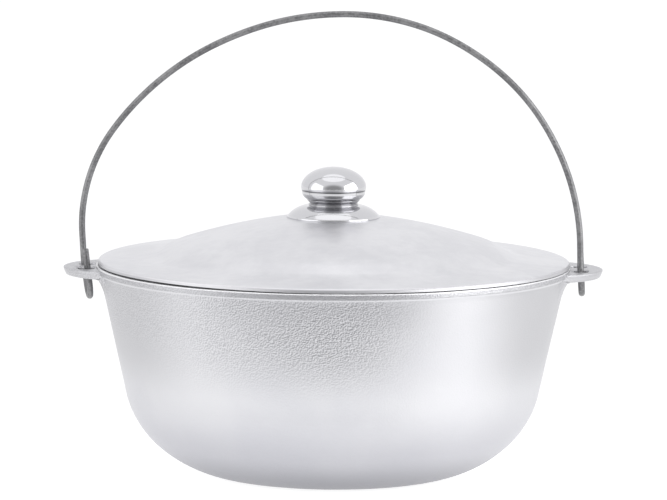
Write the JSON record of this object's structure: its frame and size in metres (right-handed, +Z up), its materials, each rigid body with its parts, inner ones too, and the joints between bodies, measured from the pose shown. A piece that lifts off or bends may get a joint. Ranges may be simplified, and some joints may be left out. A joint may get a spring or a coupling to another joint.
{
  "type": "camping cauldron",
  "caption": "Cast aluminium camping cauldron with a domed lid, a polished steel knob and a wire bail handle that hooks through two cast ears.",
  "frame": {"origin": "centre of the pot's flat base, on the surface it stands on", "axes": "+Z up through the knob; X runs from ear to ear; Y runs from front to back through the bail's arch"},
  "size_m": [0.34, 0.3, 0.294],
  "materials": {
    "cast_pot": "sand-cast and tumbled, satin",
    "cast_lid": "cast and buffed, satin",
    "galvanised_wire": "galvanised, dull and mottled",
    "polished_steel": "polished stainless",
    "zinc_steel": "zinc plated"
  },
  "bodies": {
    "pot": {"pot_body": "cast_pot"},
    "lid": {"lid": "cast_lid", "knob_cap": "polished_steel", "knob_shell": "polished_steel", "knob_base": "polished_steel", "knob_insert": "zinc_steel", "lid_screw": "zinc_steel", "lid_washer": "zinc_steel", "spring_washer": "zinc_steel"},
    "bail": {"bail": "galvanised_wire"}
  },
  "joints": [
    {"name": "bail_swing", "type": "hinge", "parent": "pot", "child": "bail", "pos_m": [0, 0, 0.1294], "axis": [1, 0, 0], "range_deg": [-45, 45]},
    {"name": "lid_lift", "type": "slide", "parent": "pot", "child": "lid", "axis": [0, 0, 1], "range_m": [0, 0.02]}
  ]
}
